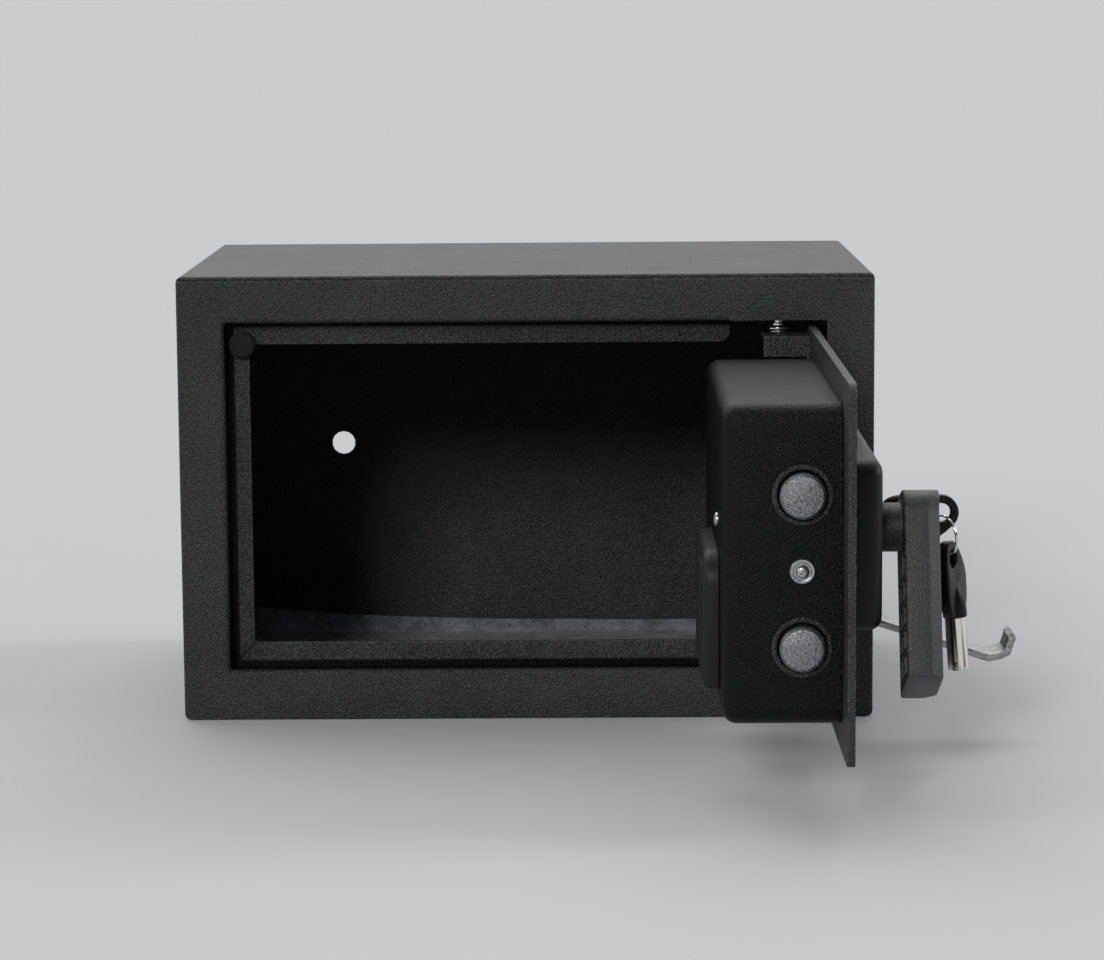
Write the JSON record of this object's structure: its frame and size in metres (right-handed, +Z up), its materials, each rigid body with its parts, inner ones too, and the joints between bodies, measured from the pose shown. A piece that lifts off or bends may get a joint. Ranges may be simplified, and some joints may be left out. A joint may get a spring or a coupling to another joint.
{
  "type": "portable car safe",
  "caption": "Small steel safe with its door open: keypad, turning lever, two sliding bolts, emergency lock with keys, battery cover, felt mat and fixing holes.",
  "frame": {"origin": "centre of the case's base, on the surface it stands on", "axes": "+Z up, -Y the front with the door opening, +X to the hinge side"},
  "size_m": [0.3666, 0.4288, 0.2],
  "materials": {
    "painted_steel": "fine textured black powder coat, satin",
    "felt": "grey-blue mottled needle felt",
    "rubber": "matt black rubber",
    "bright_steel": "bright nickel plate",
    "black_nylon": "turned black nylon, satin",
    "zinc_plate": "bright zinc plate with a fine grain",
    "brass": "machined brass, satin",
    "black_plastic": "moulded black plastic, fine spark texture",
    "grey_plastic": "moulded dark grey plastic, fine spark texture",
    "keypad_rubber": "dark grey silicone with plain numbers",
    "cell_jacket": "plain shrink jacket, gloss",
    "copper_coil": "steel yoke with a wound copper coil",
    "circuit_board": "green solder mask",
    "red_lens": "clear red lens",
    "green_lens": "clear green lens",
    "key": "nickel-plated hollow barrel with a black moulded bow"
  },
  "bodies": {
    "case": {"case_shell": "painted_steel", "front_frame": "painted_steel", "back_panel": "painted_steel", "floor_mat": "felt", "door_bumper": "rubber", "hinge_bracket_top": "painted_steel", "hinge_bracket_bottom": "painted_steel", "hinge_pin_top": "bright_steel", "hinge_pin_bottom": "bright_steel"},
    "door": {"door_plate": "painted_steel", "hinge_ear_top": "painted_steel", "hinge_ear_bottom": "painted_steel", "lock_cover": "painted_steel", "bolt_bushing_upper": "black_nylon", "bolt_bushing_lower": "black_nylon", "guide_post_upper": "brass", "guide_post_lower": "brass", "cover_end_washer": "zinc_plate", "cover_end_screw": "zinc_plate", "cover_face_screw": "bright_steel", "battery_tray": "black_plastic", "battery_cell_1": "cell_jacket", "battery_cell_2": "cell_jacket", "battery_cell_3": "cell_jacket", "battery_cell_4": "cell_jacket", "solenoid_body": "copper_coil", "control_panel": "black_plastic", "circuit_board": "circuit_board", "led_red": "red_lens", "led_green": "green_lens", "lock_cylinder": "zinc_plate", "tether_hook": "bright_steel", "hook_screw_upper": "zinc_plate", "hook_screw_lower": "zinc_plate"},
    "handle": {"handle_lever": "grey_plastic", "handle_spindle": "zinc_plate", "drive_cam": "zinc_plate"},
    "bolts": {"bolt_upper": "zinc_plate", "bolt_lower": "zinc_plate", "bolt_carriage": "zinc_plate"},
    "lock": {"lock_plug": "brass", "inserted_key": "key"},
    "ring": {"key_ring": "bright_steel"},
    "spare": {"spare_key": "key"},
    "battery_lid": {"battery_door": "black_plastic"},
    "plunger": {"solenoid_plunger": "zinc_plate"},
    "key_button_1": {"keypad_key_1": "keypad_rubber"},
    "key_button_2": {"keypad_key_2": "keypad_rubber"},
    "key_button_3": {"keypad_key_3": "keypad_rubber"},
    "key_button_4": {"keypad_key_4": "keypad_rubber"},
    "key_button_5": {"keypad_key_5": "keypad_rubber"},
    "key_button_6": {"keypad_key_6": "keypad_rubber"},
    "key_button_7": {"keypad_key_7": "keypad_rubber"},
    "key_button_8": {"keypad_key_8": "keypad_rubber"},
    "key_button_9": {"keypad_key_9": "keypad_rubber"},
    "key_button_10": {"keypad_key_10": "keypad_rubber"},
    "key_button_11": {"keypad_key_11": "keypad_rubber"},
    "key_button_12": {"keypad_key_12": "keypad_rubber"}
  },
  "joints": [
    {"name": "door_hinge", "type": "hinge", "parent": "case", "child": "door", "pos_m": [0.1134, -0.0829, 0.1], "axis": [0, 0, 1], "range_deg": [-90, 10]},
    {"name": "handle_turn", "type": "hinge", "parent": "door", "child": "handle", "pos_m": [0.15, -0.245, 0.1086], "axis": [-1, 0, 0], "range_deg": [0, 70]},
    {"name": "bolt_slide", "type": "slide", "parent": "door", "child": "bolts", "axis": [0, -1, 0], "range_m": [0, 0.02]},
    {"name": "lock_turn", "type": "hinge", "parent": "door", "child": "lock", "pos_m": [0.15, -0.2, 0.1048], "axis": [1, 0, 0], "range_deg": [0, 90]},
    {"name": "ring_swing", "type": "hinge", "parent": "lock", "child": "ring", "pos_m": [0.1744, -0.2, 0.1078], "axis": [0, 1, 0], "range_deg": [-20, 10]},
    {"name": "spare_key_swing", "type": "hinge", "parent": "ring", "child": "spare", "pos_m": [0.1777, -0.2, 0.0882], "axis": [0.8882, -0.454, 0.0699], "range_deg": [-20, 20]},
    {"name": "battery_door_slide", "type": "slide", "parent": "door", "child": "battery_lid", "axis": [0, 0, -1], "range_m": [0, 0.012]},
    {"name": "plunger_slide", "type": "slide", "parent": "door", "child": "plunger", "axis": [0, 0, 1], "range_m": [0, 0.004], "stiffness_N_per_m": 150, "springref_m": -0.002},
    {"name": "press_1", "type": "slide", "parent": "door", "child": "key_button_1", "axis": [-1, 0, 0], "range_m": [0, 0.001], "stiffness_N_per_m": 400, "springref_m": -0.0005},
    {"name": "press_2", "type": "slide", "parent": "door", "child": "key_button_2", "axis": [-1, 0, 0], "range_m": [0, 0.001], "stiffness_N_per_m": 400, "springref_m": -0.0005},
    {"name": "press_3", "type": "slide", "parent": "door", "child": "key_button_3", "axis": [-1, 0, 0], "range_m": [0, 0.001], "stiffness_N_per_m": 400, "springref_m": -0.0005},
    {"name": "press_4", "type": "slide", "parent": "door", "child": "key_button_4", "axis": [-1, 0, 0], "range_m": [0, 0.001], "stiffness_N_per_m": 400, "springref_m": -0.0005},
    {"name": "press_5", "type": "slide", "parent": "door", "child": "key_button_5", "axis": [-1, 0, 0], "range_m": [0, 0.001], "stiffness_N_per_m": 400, "springref_m": -0.0005},
    {"name": "press_6", "type": "slide", "parent": "door", "child": "key_button_6", "axis": [-1, 0, 0], "range_m": [0, 0.001], "stiffness_N_per_m": 400, "springref_m": -0.0005},
    {"name": "press_7", "type": "slide", "parent": "door", "child": "key_button_7", "axis": [-1, 0, 0], "range_m": [0, 0.001], "stiffness_N_per_m": 400, "springref_m": -0.0005},
    {"name": "press_8", "type": "slide", "parent": "door", "child": "key_button_8", "axis": [-1, 0, 0], "range_m": [0, 0.001], "stiffness_N_per_m": 400, "springref_m": -0.0005},
    {"name": "press_9", "type": "slide", "parent": "door", "child": "key_button_9", "axis": [-1, 0, 0], "range_m": [0, 0.001], "stiffness_N_per_m": 400, "springref_m": -0.0005},
    {"name": "press_10", "type": "slide", "parent": "door", "child": "key_button_10", "axis": [-1, 0, 0], "range_m": [0, 0.001], "stiffness_N_per_m": 400, "springref_m": -0.0005},
    {"name": "press_11", "type": "slide", "parent": "door", "child": "key_button_11", "axis": [-1, 0, 0], "range_m": [0, 0.001], "stiffness_N_per_m": 400, "springref_m": -0.0005},
    {"name": "press_12", "type": "slide", "parent": "door", "child": "key_button_12", "axis": [-1, 0, 0], "range_m": [0, 0.001], "stiffness_N_per_m": 400, "springref_m": -0.0005}
  ],
  "couplings": [
    {"joint": "handle_turn", "follows": "bolt_slide", "rad_per_m": 61.08}
  ]
}
